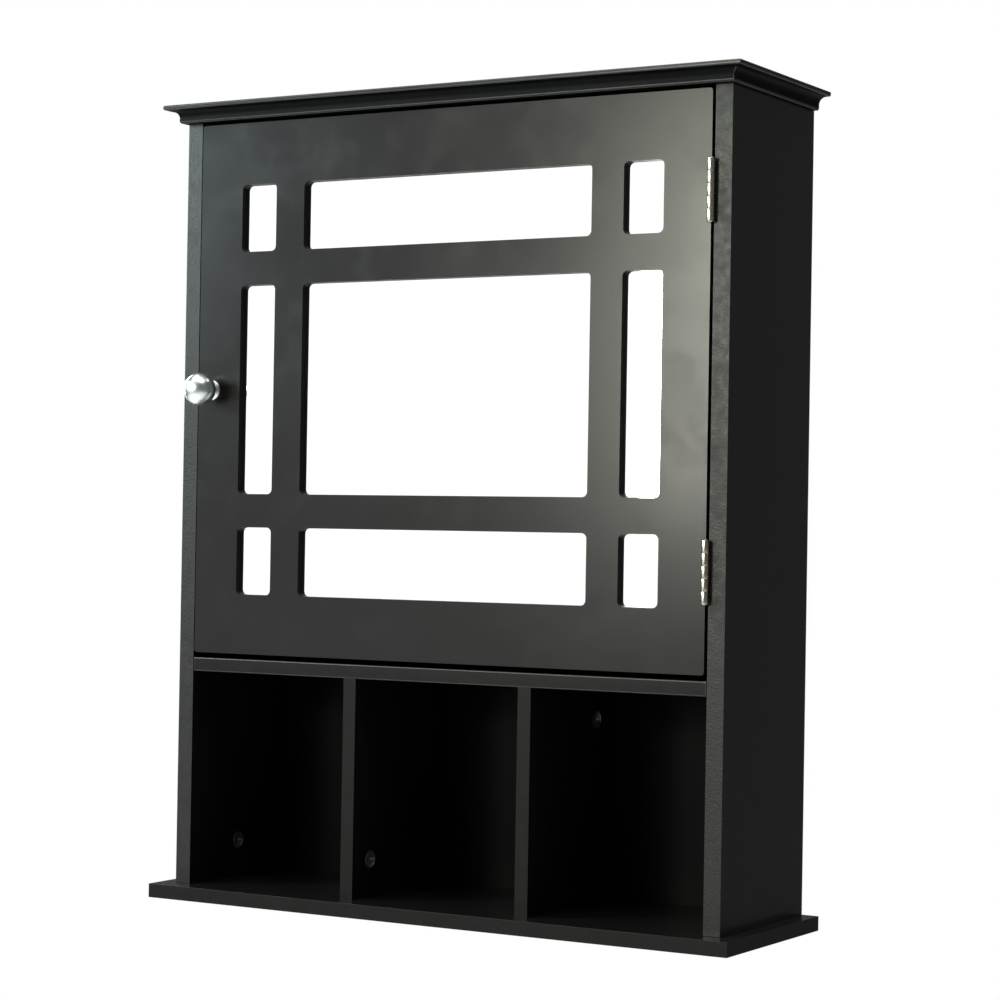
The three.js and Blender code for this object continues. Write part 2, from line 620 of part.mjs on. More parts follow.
function catchHousing() {
  const wall = -SIDE_INNER;
  const body = join([
    block(wall, CATCH_X + HOUSING_HALF_WIDTH, catchFront, catchFront + HOUSING_DEEP,
      CATCH_Z - HOUSING_HALF, CATCH_Z + HOUSING_HALF),
    block(wall, wall + FLANGE_THICK, catchFront + 1, catchFront + HOUSING_DEEP,
      CATCH_Z - FLANGE_HALF, CATCH_Z + FLANGE_HALF),
  ]);
  const halfWide = MAGNET_HALF_WIDTH + SNUG;
  const halfTall = MAGNET_HALF + SNUG;
  const tools = [block(CATCH_X - halfWide, CATCH_X + halfWide, catchFront - 1,
    catchFront + MAGNET_DEEP + SNUG, CATCH_Z - halfTall, CATCH_Z + halfTall)];
  for (const z of catchScrewZs()) {
    tools.push(rod([wall - 1, CATCH_SCREW_Y, z], [1, 0, 0], SMALL_SCREW + CLEAR / 2, 5));
  }
  return cut(body, tools);
}

function catchMagnet() {
  return block(CATCH_X - MAGNET_HALF_WIDTH, CATCH_X + MAGNET_HALF_WIDTH, catchFront - SNUG,
    catchFront + MAGNET_DEEP, CATCH_Z - MAGNET_HALF, CATCH_Z + MAGNET_HALF);
}

function strikePlate() {
  const plate = block(CATCH_X - STRIKE_HALF_WIDTH, CATCH_X + STRIKE_HALF_WIDTH, DOOR_REAR,
    DOOR_REAR + PLATE_THICK,
    STRIKE_SCREW_Z - 5, CATCH_Z + 14);
  return cut(plate, [rod([CATCH_X, DOOR_REAR - 1, STRIKE_SCREW_Z], [0, 1, 0],
    SMALL_SCREW + CLEAR / 2, 3)]);
}

function addCatch() {
  add('catch_housing', catchHousing(), BLACK_PLASTIC);
  add('catch_magnet', catchMagnet(), MAGNET);
  catchScrewZs().forEach((z, i) => {
    add(`catch_screw_${i + 1}`, panScrew(SMALL_SCREW, CATCH_SCREW_BITE + FLANGE_THICK,
      SMALL_HEAD, SMALL_HEAD_TALL), ZINC, [-SIDE_INNER + FLANGE_THICK, CATCH_SCREW_Y, z], [1, 0, 0]);
  });
  add('strike_plate', strikePlate(), ZINC);
  add('strike_screw', panScrew(SMALL_SCREW, 8, 2.4, 1.4), ZINC,
    [CATCH_X, DOOR_REAR + PLATE_THICK, STRIKE_SCREW_Z], [0, 1, 0]);
}

// ---------------------------------------------------------------- put together
add('crown_board', crownBoard(), BLACK_PAINT);
add('bottom_board', bottomBoard(), BLACK_PAINT);
add('fixed_shelf', fixedShelf(), BLACK_PAINT);
for (const [side, sign] of SIDES) {
  add(`side_panel_${side}`, sidePanel(side, sign), BLACK_PAINT);
  add(`divider_${side}`, divider(side, sign), BLACK_PAINT);
}
add('back_panel', backPanel(), RAW_BOARD);
add('hanging_rail', hangingRail(), BLACK_PAINT);
add('adjustable_shelf', looseShelf(), BLACK_PAINT);
for (const [side, sign] of SIDES) {
  for (const [end, y] of [['front', PIN_YS[0]], ['rear', PIN_YS[1]]]) {
    add(`shelf_pin_${side}_${end}`, shelfPin(), NICKEL,
      [sign * SIDE_INNER, y, PIN_HOLE_MIDDLE], [-sign, 0, 0]);
  }
}
addCams();
addCatch();
addHinges();
add('door_frame', doorFrame(), BLACK_PAINT);
add('mirror_glass', mirrorGlass(), MIRROR);
add('mirror_backing', mirrorBacking(), RAW_BOARD);
backingScrewPlaces().forEach(([x, z], i) => {
  add(`backing_screw_${i + 1}`, panScrew(SMALL_SCREW, BACKING_SCREW_BITE, SMALL_HEAD,
    SMALL_HEAD_TALL), ZINC, [x, backingRear, z], [0, 1, 0]);
});
add('door_knob', knob(), CHROME, [KNOB_X, -SIDE_DEPTH, KNOB_Z], [0, -1, 0]);
add('knob_screw', panScrew(KNOB_SCREW, DOOR_THICK + 8, 3.9, 2.4), ZINC,
  [KNOB_X, DOOR_REAR, KNOB_Z], [0, 1, 0]);

const group = new THREE.Group();
group.add(cabinet);
export default group;
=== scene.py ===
# %% [markdown]
# # A wall-hung medicine cabinet with a mirrored lattice door
# The real piece is flat-pack furniture: boards of medium-density fibreboard (MDF) sprayed with
# satin black lacquer, joined by cams and bolts, with one mirror behind a lattice door, three
# open cubbies under it and a moulded crown. Its CAD model already has every board at its true
# size, so it is loaded as a fixed frame, and this script only gives it looks: rounded arrises,
# finer fittings, finishes, light and a camera.

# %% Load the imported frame
import math

import bmesh
import bpy
from mathutils import Matrix, Vector


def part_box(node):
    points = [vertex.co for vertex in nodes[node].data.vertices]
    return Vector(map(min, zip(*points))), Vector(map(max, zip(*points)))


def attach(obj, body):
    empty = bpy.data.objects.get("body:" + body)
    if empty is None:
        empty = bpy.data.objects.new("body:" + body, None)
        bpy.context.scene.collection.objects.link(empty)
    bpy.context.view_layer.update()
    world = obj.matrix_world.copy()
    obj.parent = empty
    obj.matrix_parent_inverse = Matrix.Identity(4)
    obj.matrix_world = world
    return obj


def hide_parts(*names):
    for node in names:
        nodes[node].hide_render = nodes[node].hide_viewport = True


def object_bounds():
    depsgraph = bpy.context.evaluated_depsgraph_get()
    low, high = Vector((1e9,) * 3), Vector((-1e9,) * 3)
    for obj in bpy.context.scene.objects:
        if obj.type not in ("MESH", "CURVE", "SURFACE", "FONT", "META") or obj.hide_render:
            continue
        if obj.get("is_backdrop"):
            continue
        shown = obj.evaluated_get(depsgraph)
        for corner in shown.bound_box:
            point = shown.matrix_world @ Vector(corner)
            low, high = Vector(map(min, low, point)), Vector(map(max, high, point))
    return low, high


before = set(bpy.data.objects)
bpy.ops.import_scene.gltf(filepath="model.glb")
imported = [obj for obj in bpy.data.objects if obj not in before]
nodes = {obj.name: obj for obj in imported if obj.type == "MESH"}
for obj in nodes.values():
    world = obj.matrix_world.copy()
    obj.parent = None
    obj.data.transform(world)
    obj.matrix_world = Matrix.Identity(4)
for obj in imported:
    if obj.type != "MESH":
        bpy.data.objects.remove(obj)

cad_low, cad_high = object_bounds()
print("CAD box in mm:", [round(side * 1000, 1) for side in cad_high - cad_low])

# %% [markdown]
# ## Four small helpers for materials
# A shader works in linear light, while colours are read off paint charts as sRGB hex, so one
# function turns hex to linear. A second adds any node with its settings and links, which keeps
# each material down to a few readable lines. The third gives a pattern's scale from its real
# size, because Blender's textures repeat about once per unit at scale 1 and the unit is a metre.
# The fourth starts a material with the values that are the same all over it.

# %% Colour, node and scale helpers
MM = 0.001
COLOUR_A, COLOUR_B, COLOUR_OUT = 6, 7, 2     # sockets of a Mix node that mixes colours


def linear(hex_colour):
    """sRGB hex such as #1c1c1d to the linear RGBA that sockets take."""
    parts = [int(hex_colour[i:i + 2], 16) / 255 for i in (1, 3, 5)]
    curve = [p / 12.92 if p <= 0.04045 else ((p + 0.055) / 1.055) ** 2.4 for p in parts]
    return (*curve, 1.0)


def add(tree, kind, values=None, links=None, **settings):
    """One shader node: its own settings, then socket values, then what feeds its sockets."""
    made = tree.nodes.new("ShaderNode" + kind)
    for name, value in settings.items():
        setattr(made, name, value)
    for socket, value in (values or {}).items():
        made.inputs[socket].default_value = value
    for socket, source in (links or {}).items():
        tree.links.new(source, made.inputs[socket])
    return made


def every(size_mm):
    """The texture scale whose pattern repeats about every size_mm millimetres."""
    return 1 / (size_mm * MM)


def finish(name, values):
    """A new material with a Principled shader; gives the material, its tree and the shader."""
    made = bpy.data.materials.new(name)
    made.use_nodes = True
    shader = made.node_tree.nodes["Principled BSDF"]
    for socket, value in values.items():
        shader.inputs[socket].default_value = value
    return made, made.node_tree, shader


print("MDF black in linear light:", [round(c, 4) for c in linear("#141312")[:3]])

# %% [markdown]
# ## Satin black lacquer on MDF
# The boards are primed, sanded and sprayed. On a flat face the lacquer flows into a faint
# orange peel a few millimetres across, and its gloss drifts by a few percent where the spray
# lapped. On a cut edge the fibres drink the paint and stand up, so the same lacquer looks
# drier and grainier there, and the sawn front edges of the side panels are the roughest. On the
# sanded arrises handling has burnished it. The crown's cove and the inside of the back are
# never sanded, so they stay dull, and their colour is made darker than the face as painted
# shade, for the shade that falls in these recesses. One recipe with a few numbers makes all
# five looks, because on the real cabinet they are one paint.

# %% The lacquer recipe and its five looks
BLOT_MM = 24          # patches where the coat went on a little dry
HOLLOW_MM = 38        # slow hollows left by the sanding block
HOLLOW_SHARE = 1.6    # how deep they are beside the peel
NIB_MM = 0.9          # dust nibs, drawn this wide so that they show at all


def lacquer(name, deep, speck, grain_mm, grain_height_mm, roughness, drift, shine=0.3,
            laps_mm=90):
    """The paint on one kind of surface: its colour and its specks' colour, the size and height
    of its grain, its roughness and how far that drifts, and its shine."""
    made, tree, shader = finish(name, {"IOR": 1.4, "Specular IOR Level": shine})
    spot = add(tree, "TexCoord").outputs["Object"]

    # spray laps, broad on a face and short on a cut edge: clouds that move the roughness
    laps = add(tree, "TexNoise", {"Scale": every(laps_mm), "Detail": 3.0}, {"Vector": spot})
    rough = add(tree, "MapRange", {"From Min": 0.3, "From Max": 0.7,
                                   "To Min": roughness - drift, "To Max": roughness + drift},
                {"Value": laps.outputs["Fac"]})

    # dry patches, which only ever add roughness
    blots = add(tree, "TexNoise", {"Scale": every(BLOT_MM), "Detail": 2.0, "Roughness": 0.5},
                {"Vector": spot})
    patchy = add(tree, "MapRange", {"From Min": 0.5, "From Max": 0.78, "To Max": 0.045},
                 {"Value": blots.outputs["Fac"]})
    rough = add(tree, "Math", links={0: rough.outputs[0], 1: patchy.outputs[0]}, operation="ADD")

    # orange peel or raised fibres, with slow hollows left by the sanding block
    peel = add(tree, "TexNoise", {"Scale": every(grain_mm), "Detail": 3.0, "Roughness": 0.55},
               {"Vector": spot})
    hollows = add(tree, "TexNoise", {"Scale": every(HOLLOW_MM), "Detail": 1.0},
                  {"Vector": spot})
    height = add(tree, "Math", {1: HOLLOW_SHARE}, {0: hollows.outputs["Fac"],
                                                  2: peel.outputs["Fac"]},
                 operation="MULTIPLY_ADD")
    bump = add(tree, "Bump", {"Strength": 1.0, "Distance": grain_height_mm * MM},
               {"Height": height.outputs[0]})

    # dust nibs: rare pale specks
    nibs = add(tree, "TexNoise", {"Scale": every(NIB_MM), "Detail": 0.0}, {"Vector": spot})
    dusty = add(tree, "MapRange", {"From Min": 0.77, "From Max": 0.9},
                {"Value": nibs.outputs["Fac"]})
    colour = add(tree, "Mix", {COLOUR_A: linear(deep), COLOUR_B: linear(speck)},
                 {0: dusty.outputs[0]}, data_type="RGBA")
    tree.links.new(colour.outputs[COLOUR_OUT], shader.inputs["Base Color"])
    tree.links.new(rough.outputs[0], shader.inputs["Roughness"])
    tree.links.new(bump.outputs[0], shader.inputs["Normal"])
    return made


lacquer_face = lacquer("satin_black_lacquer_face", "#151414", "#2a2826", 2.6, 0.008, 0.2, 0.025)
lacquer_edge = lacquer("satin_black_lacquer_cut_edge", "#100f0e", "#2c2a27", 1.6, 0.12, 0.38, 0.06,
                       0.16, laps_mm=9)
lacquer_sawn = lacquer("satin_black_lacquer_sawn_edge", "#151413", "#3a3833", 1.8, 0.2, 0.38, 0.075,
                       0.38, laps_mm=7)
lacquer_arris = lacquer("satin_black_lacquer_rubbed_arris", "#161413", "#3a352f", 1.1, 0.012,
                        0.33, 0.04, 0.75)
# unsanded look: dull, and darker than the face as painted shade for the cubby back and the crown's
# cove
lacquer_dull_painted_shade = lacquer("satin_black_lacquer_unsanded_painted_shade", "#0a0a0c", "#191817", 2.2, 0.03, 0.44, 0.04,
                       0.06)
print("lacquer looks:", [look.name for look in (lacquer_face, lacquer_edge, lacquer_sawn,
                                                lacquer_arris, lacquer_dull_painted_shade)])

# %% [markdown]
# ## Hardboard
# The back panel and the mirror's backing are 3 mm hardboard: wood fibres steamed, felted and
# pressed on a wire screen. The pressed face is smooth and shows brown felted fibres of a few
# millimetres, and the other face keeps the print of the screen, a small woven grid. Two
# crossed waves draw that grid at 2.5 mm, a little coarser than the real 1.8 mm so that it shows.

# %% Hardboard, smooth face and screen face
WAVE_LENGTH = 2 * math.pi / 20        # how far apart a Wave texture's bands are at scale 1
SCREEN_MM = 2.5


def hardboard(name, screened):
    made, tree, shader = finish(name, {"Roughness": 0.72, "IOR": 1.45})
    spot = add(tree, "TexCoord").outputs["Object"]
    along = add(tree, "Mapping", {"Scale": (1.0, 1.0, 0.3)}, {"Vector": spot})
    across = add(tree, "Mapping", {"Scale": (0.3, 1.0, 1.0), "Rotation": (0.0, 0.5, 0.0)},
                 {"Vector": spot})
    fibres = [add(tree, "TexNoise", {"Scale": every(1.4), "Detail": 4.0, "Distortion": 0.6},
                  {"Vector": way.outputs[0]}) for way in (along, across)]
    felt = add(tree, "Math", links={0: fibres[0].outputs["Fac"], 1: fibres[1].outputs["Fac"]},
               operation="MULTIPLY")
    tone = add(tree, "MapRange", {"From Min": 0.14, "From Max": 0.38},
               {"Value": felt.outputs[0]})
    cloud = add(tree, "TexNoise", {"Scale": every(45), "Detail": 3.0}, {"Vector": spot})
    brown = add(tree, "Mix", {COLOUR_A: linear("#4f3320"), COLOUR_B: linear("#7d5836")},
                {0: tone.outputs[0]}, data_type="RGBA")
    board = add(tree, "Mix", {COLOUR_B: linear("#63452b")},
                {0: cloud.outputs["Fac"], COLOUR_A: brown.outputs[COLOUR_OUT]}, data_type="RGBA")
    tree.links.new(board.outputs[COLOUR_OUT], shader.inputs["Base Color"])
    height = felt.outputs[0]
    if screened:
        pitch = every(SCREEN_MM) * WAVE_LENGTH
        warp = add(tree, "TexWave", {"Scale": pitch}, {"Vector": spot}, bands_direction="X")
        weft = add(tree, "TexWave", {"Scale": pitch}, {"Vector": spot}, bands_direction="Z")
        weave = add(tree, "Math", links={0: warp.outputs["Fac"], 1: weft.outputs["Fac"]},
                    operation="MULTIPLY")
        height = add(tree, "Math", links={0: weave.outputs[0], 1: felt.outputs[0]},
                     operation="ADD").outputs[0]
    bump = add(tree, "Bump", {"Distance": (0.22 if screened else 0.07) * MM}, {"Height": height})
    tree.links.new(bump.outputs[0], shader.inputs["Normal"])
    return made


hardboard_smooth = hardboard("hardboard_smooth_face", False)
hardboard_screen = hardboard("hardboard_screen_face", True)
print("hardboard looks:", hardboard_smooth.name, hardboard_screen.name)

# %% [markdown]
# ## Silvered float glass
# The mirror is 3 mm float glass with silver and a grey protective paint on its rear. Nearly
# all the light comes from the silver, so the face is drawn as a polished metal a shade greener
# than white, under a clear coat that stands for the glass. Its roughness is almost nothing, and
# a faint film of dust lifts it here and there. The ground rim of the glass shows green, and the
# rear shows the paint, so the sheet takes three materials.

# %% Mirror face, glass rim and mirror-back paint
def silvered_glass():
    made, tree, shader = finish("silvered_float_glass", {"Metallic": 1.0, "Coat Weight": 0.6,
                                                         "Coat Roughness": 0.02})
    spot = add(tree, "TexCoord").outputs["Object"]
    film = add(tree, "TexNoise", {"Scale": every(55), "Detail": 5.0}, {"Vector": spot})
    rough = add(tree, "MapRange", {"From Min": 0.45, "From Max": 0.75,
                                   "To Min": 0.012, "To Max": 0.035},
                {"Value": film.outputs["Fac"]})
    tint = add(tree, "Mix", {COLOUR_A: linear("#f4f8f6"), COLOUR_B: linear("#eaf1ee")},
               {0: film.outputs["Fac"]}, data_type="RGBA")
    tree.links.new(tint.outputs[COLOUR_OUT], shader.inputs["Base Color"])
    tree.links.new(rough.outputs[0], shader.inputs["Roughness"])
    return made


def speckled(name, values, colours, grain_mm, height_mm, rough_range, stretch=(1.0, 1.0, 1.0)):
    """A cast, plated or moulded surface: two close colours and a roughness that follow one
    grain, with the same grain raised by height_mm."""
    made, tree, shader = finish(name, values)
    spot = add(tree, "TexCoord").outputs["Object"]
    way = add(tree, "Mapping", {"Scale": stretch}, {"Vector": spot})
    grain = add(tree, "TexNoise", {"Scale": every(grain_mm), "Detail": 3.0},
                {"Vector": way.outputs[0]})
    cloud = add(tree, "TexNoise", {"Scale": every(grain_mm * 9), "Detail": 2.0},
                {"Vector": spot})
    colour = add(tree, "Mix", {COLOUR_A: linear(colours[0]), COLOUR_B: linear(colours[1])},
                 {0: cloud.outputs["Fac"]}, data_type="RGBA")
    rough = add(tree, "MapRange", {"From Min": 0.3, "From Max": 0.7, "To Min": rough_range[0],
                                   "To Max": rough_range[1]}, {"Value": grain.outputs["Fac"]})
    bump = add(tree, "Bump", {"Distance": height_mm * MM}, {"Height": grain.outputs["Fac"]})
    tree.links.new(colour.outputs[COLOUR_OUT], shader.inputs["Base Color"])
    tree.links.new(rough.outputs[0], shader.inputs["Roughness"])
    tree.links.new(bump.outputs[0], shader.inputs["Normal"])
    return made


mirror_face = silvered_glass()
glass_rim = speckled("ground_glass_rim", {"IOR": 1.52}, ("#5e8577", "#86a99c"), 1.2, 0.03,
                     (0.25, 0.4))
mirror_paint = speckled("mirror_back_paint", {"IOR": 1.5}, ("#6d7173", "#7d8184"), 2.0, 0.02,
                        (0.5, 0.62))
print("mirror looks:", mirror_face.name, glass_rim.name, mirror_paint.name)

# %% [markdown]
# ## Metals and moulded parts
# All the fittings are plated or cast, and each differs from the next in colour and in how
# sharp its reflections are. Chrome is blue-white, and this knob is only softly polished, so its
# reflections are bright but blurred. Nickel is warmer and uneven, because the hinges are plated
# in a barrel where they knock together. Bright zinc on screws is cool and patchy, and the cams
# are bare zinc straight from the die, grey and matt. The strike plate is rolled steel with fine
# lines along it. The catch is ABS, whose mould was spark-eroded to a fine grain, and its magnet
# is dark sintered ferrite. Metals keep the default IOR, because their base colour already says
# how they reflect.

# %% Fitting finishes
METAL = {"Metallic": 1.0}
chrome = speckled("bright_chrome_plate", METAL, ("#d9dedf", "#e6eaea"), 5.0, 0.004,
                  (0.27, 0.34))
nickel = speckled("barrel_nickel_plate", METAL, ("#c3bcac", "#d3ccbc"), 0.9, 0.01, (0.17, 0.3))
zinc_screw = speckled("bright_zinc_plate", METAL, ("#b7bbbd", "#c8c6b4"), 1.0, 0.01,
                      (0.24, 0.4))
zinc_cast = speckled("die_cast_zinc", METAL, ("#9b9c9b", "#b4b4b1"), 0.8, 0.03, (0.38, 0.55))
rolled_steel = speckled("rolled_steel", METAL, ("#8e9092", "#a2a3a4"), 0.7, 0.012, (0.28, 0.46),
                        (1.0, 1.0, 0.08))
moulded_abs = speckled("spark_grained_black_abs", {"IOR": 1.53}, ("#161617", "#1d1d1e"), 0.7,
                       0.03, (0.42, 0.55))
ferrite = speckled("sintered_ferrite", {"IOR": 2.3}, ("#2a292a", "#363436"), 1.1, 0.03,
                   (0.5, 0.7))
print("fitting looks:", len(bpy.data.materials), "materials so far")

# %% [markdown]
# ## Softening the boards
# A CAD board has knife edges, and a real one never does: after sawing, a sanding block takes
# each arris down to a radius of about 0.8 mm, and that tiny curve is what catches a line of
# light along every edge. The CAD meshes must stay as they are, so three modifiers do it. Weld
# joins the loose triangle corners, a planar Decimate merges the coplanar triangles, and Bevel
# rounds what is left sharp. Modelling each board again would lose its grooves and bores.
# Faces whose normal runs across the thickness are cut edges and take the edge look.

# %% Round the arrises of the CAD boards
ARRIS = 0.8                           # usual radius of a sanded arris, mm
WELD_GAP = 0.005                      # corners nearer than this are one, mm
COPLANAR = math.radians(0.5)
EDGE_ANGLE = math.radians(38)         # only edges sharper than this are rounded
ACROSS = 0.7                          # a normal counts as facing a way past this much of it


def soften(name, looks, radius=ARRIS, segments=3, cut_edges=True):
    """Weld, flatten and round a CAD node. looks are its face, cut edge and arris materials."""
    piece = nodes[name]
    mesh = piece.data
    low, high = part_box(name)
    sides = list(high - low)
    through = sides.index(min(sides))
    mesh.materials.clear()
    for look in looks:
        mesh.materials.append(look)
    for face in mesh.polygons:
        is_cut = cut_edges and len(looks) > 1 and abs(face.normal[through]) < ACROSS
        face.material_index = 1 if is_cut else 0
        face.use_smooth = True
    weld = piece.modifiers.new("weld", "WELD")
    weld.merge_threshold = WELD_GAP * MM
    merge = piece.modifiers.new("merge_coplanar", "DECIMATE")
    merge.decimate_type = "DISSOLVE"
    merge.angle_limit = COPLANAR
    merge.delimit = {"MATERIAL"}
    bevel = piece.modifiers.new("arris", "BEVEL")
    bevel.width = radius * MM
    bevel.segments = segments
    bevel.limit_method = "ANGLE"
    bevel.angle_limit = EDGE_ANGLE
    bevel.material = len(looks) - 1
    flat = piece.modifiers.new("keep_faces_flat", "WEIGHTED_NORMAL")
    flat.mode = "FACE_AREA"
    flat.weight = 100
    return piece


crown = soften("crown_board", (lacquer_face, lacquer_dull_painted_shade, lacquer_arris))
LIP = 4.5                             # the crown's sanded top lip, mm
UPRIGHT = 0.2
# the crown's top and lip take the face look; the rest takes the unsanded look, darkened as painted
# shade
for face in crown.data.polygons:
    on_lip = abs(face.normal.z) < UPRIGHT and face.center.z > cad_high.z - LIP * MM
    face.material_index = 0 if face.normal.z > ACROSS or on_lip else 1
ROUNDING = {"door_frame": 1.4, "fixed_shelf": 1.6, "side_panel_left": 1.1,
            "side_panel_right": 1.1, "divider_left": 2.0, "divider_right": 2.0}
boards = ["bottom_board", "fixed_shelf", "side_panel_left", "side_panel_right",
          "divider_left", "divider_right", "hanging_rail", "adjustable_shelf", "door_frame"]
for board in boards:
    edge = lacquer_sawn if board.startswith("side_panel") else lacquer_edge
    soften(board, (lacquer_face, edge, lacquer_arris), ROUNDING.get(board, ARRIS))
print("softened", len(boards), "lacquered boards")

# %% [markdown]
# ## Back panel, mirror and its backing
# The back panel's front face is black like the rest, made a little darker as painted shade for
# the inside of the cubbies, and its rear is bare screened hardboard, so each face takes its
# material from the way it looks. The mirror does the same with its silver, rim and paint, and
# its edge is only seamed, a quarter of a millimetre.

# %% Dress the thin sheets
def dress_by_side(name, front, rear, rim, radius):
    """A thin upright sheet: one material for its front, one for its rear, one for its rim."""
    piece = soften(name, (front, rear, rim), radius, 2, cut_edges=False)
    for face in piece.data.polygons:
        facing = face.normal.y
        face.material_index = 0 if facing < -ACROSS else 1 if facing > ACROSS else 2
    return piece


SEAM = 0.25                           # a thin sheet's edge is only seamed, mm
dress_by_side("back_panel", lacquer_dull_painted_shade, hardboard_screen, hardboard_smooth, SEAM)
dress_by_side("mirror_glass", mirror_face, mirror_paint, glass_rim, SEAM)
dress_by_side("mirror_backing", hardboard_smooth, hardboard_smooth, hardboard_smooth, SEAM)
soften("catch_housing", (moulded_abs,), 0.5)
soften("catch_magnet", (ferrite,), 0.3)
soften("strike_plate", (rolled_steel,), 0.2)
for name in nodes:
    if name.startswith("cam_bolt_"):
        soften(name, (zinc_screw,), 0.2, 1)
print("dressed the sheets, the catch and the hidden bolts")

# %% [markdown]
# ## Turned parts with a driver recess
# Screws, cams, pins and the knob are all made on a lathe or in a round die, so they come from
# one helper that spins a profile. A Screw modifier could spin it too, but building the rings
# directly lets the same helper end in a flat disc with a cross-shaped recess sunk in it,
# which is what makes a screw head read as a screw. Shading stays smooth across shallow angles
# and breaks at the real edges.

# %% A lathe in mesh code
def ring_of(mesh, radius, height, sides):
    if radius == 0:
        return [mesh.verts.new((0, 0, height * MM))]
    turn = 2 * math.pi / sides
    return [mesh.verts.new((radius * MM * math.cos(turn * i), radius * MM * math.sin(turn * i),
                            height * MM)) for i in range(sides)]


def skin(mesh, lower, upper):
    """Faces between two rings; a ring of one point closes as a fan."""
    count = max(len(lower), len(upper))
    for i in range(count):
        corners = [lower[i % len(lower)], lower[(i + 1) % len(lower)],
                   upper[(i + 1) % len(upper)], upper[i % len(upper)]]
        mesh.faces.new(list(dict.fromkeys(corners)))


def loop_edges(mesh, loop):
    pairs = zip(loop, loop[1:] + loop[:1])
    return [mesh.edges.get(pair) or mesh.edges.new(pair) for pair in pairs]


def cross(reach, width):
    """The outline of a cross recess, as twelve points counted round from +X."""
    arm = [(reach, -width), (reach, width), (width, width)]
    points = []
    for quarter in range(4):
        for x, y in arm:
            for _ in range(quarter):
                x, y = -y, x
            points.append((x, y))
    return points


def lathe(profile, sides=48, hollow=False, recess=None):
    """Spin (radius, height) points, in mm. A hollow profile closes on itself. A recess is
    (reach, width, depth) of the cross sunk in the flat that the profile ends with."""
    mesh = bmesh.new()
    rings = [ring_of(mesh, radius, height, sides) for radius, height in profile]
    for lower, upper in zip(rings, rings[1:]):
        skin(mesh, lower, upper)
    if hollow:
        skin(mesh, rings[-1], rings[0])
    if recess:
        reach, width, depth = recess
        top = profile[-1][1]
        rim = [mesh.verts.new((x * MM, y * MM, top * MM)) for x, y in cross(reach, width)]
        foot = [mesh.verts.new((x * MM, y * MM, (top - depth) * MM))
                for x, y in cross(reach * 0.62, width * 0.8)]
        bmesh.ops.triangle_fill(mesh, use_beauty=True, normal=(0, 0, 1),
                                edges=loop_edges(mesh, rings[-1]) + loop_edges(mesh, rim))
        skin(mesh, rim, foot)
        bmesh.ops.triangle_fill(mesh, use_beauty=True, normal=(0, 0, 1),
                                edges=loop_edges(mesh, foot))
    bmesh.ops.recalc_face_normals(mesh, faces=mesh.faces)
    return mesh


def place(name, mesh, at, along, body, look, stands_for, sharp=32):
    """Turn a finished mesh into a piece: local +Z goes along a direction, from a point."""
    data = bpy.data.meshes.new(name)
    mesh.to_mesh(data)
    mesh.free()
    data.shade_smooth()
    data.set_sharp_from_angle(angle=math.radians(sharp))
    data.materials.append(look)
    piece = bpy.data.objects.new(name, data)
    bpy.context.scene.collection.objects.link(piece)
    spin = Vector((0, 0, 1)).rotation_difference(Vector(along)).to_matrix().to_4x4()
    piece.matrix_world = Matrix.Translation(Vector(at)) @ spin
    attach(piece, body)
    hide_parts(*stands_for)
    return piece


print("lathe ready; a cross recess has", len(cross(1, 0.3)), "corners")

# %% [markdown]
# ## The knob
# The knob is a zinc casting, polished and chrome plated: a ball on a waisted stem with a
# flared foot. The CAD ball has flat facets, which a bright finish would show at once, so it is
# spun again with 96 sides and small steps. Its box gives the centre line and the reach.

# %% Spin the knob
knob_low, knob_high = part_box("door_knob")
knob_middle = (knob_low + knob_high) / 2
BALL, REACH, WAIST = 14.0, 18.5, 5.2     # ball radius, its middle's reach, stem radius, mm
foot_profile = [(0, 0), (8.2, 0), (8.55, 0.12), (8.7, 0.45), (8.7, 1.3), (8.6, 1.6), (8.25, 1.9),
                (7.4, 2.35), (6.6, 2.95), (6.0, 3.6), (5.6, 4.25), (5.35, 4.8)]
start = math.asin(WAIST / BALL)
BALL_STEPS, KNOB_SIDES = 34, 96
turns = [start + (math.pi - start) * i / BALL_STEPS for i in range(BALL_STEPS)]
ball_profile = ([(BALL * math.sin(turn), REACH - BALL * math.cos(turn)) for turn in turns]
                + [(0, REACH + BALL)])
place("knob_chrome", lathe(foot_profile + ball_profile, KNOB_SIDES),
      (knob_middle.x, knob_high.y, knob_middle.z), (0, -1, 0), "door", chrome,
      ["door_knob"], 40)
print("knob reaches", round((knob_high.y - knob_low.y) / MM, 1), "mm from the door")

# %% [markdown]
# ## Screws
# Two kinds are used. Countersunk screws sit flush in the hinge leaves, and pan-head screws hold
# the backing, the catch, the strike plate and the knob. Both get a cross recess, a turned
# head and rings for their thread: true helical thread would cost many faces inside the wood.

# %% Countersunk and pan-head screws
PITCH_MM = 1.2
POINT = 2.0           # length of the screw's point
ROOT = 0.72           # thread root, as a share of its outer radius


def thread(shank, start, length):
    """Thread rings in profile, from the point up to the plain shank."""
    points = [(0, -length), (shank * 0.35, -length + 1.2)]
    turns = int((length - start - 2 * PITCH_MM) / PITCH_MM)
    for turn in range(turns):
        low = -length + POINT + turn * PITCH_MM
        points += [(shank * ROOT, low), (shank, low + PITCH_MM * 0.5)]
    return points + [(shank * ROOT, -length + POINT + turns * PITCH_MM), (shank * 0.8, -start)]


def flat_head(shank, length, head=2.8):
    profile = thread(shank, 1.5, length) + [(shank, -1.1), (head - 0.12, -0.12), (head, -0.06),
                                            (head - 0.08, 0), (head * 0.72, 0)]
    return lathe(profile, 40, recess=(1.35, 0.36, 0.9))


def pan_head(shank, length, head, tall):
    dome = [(head * math.cos(a), tall * (0.45 + 0.55 * math.sin(a)))
            for a in [math.radians(8 * i) for i in range(7)]]
    profile = thread(shank, 0.6, length) + [(shank, 0), (head, 0), (head, tall * 0.4)] + dome
    return lathe(profile, 40, recess=(head * 0.5, head * 0.14, tall * 0.55))


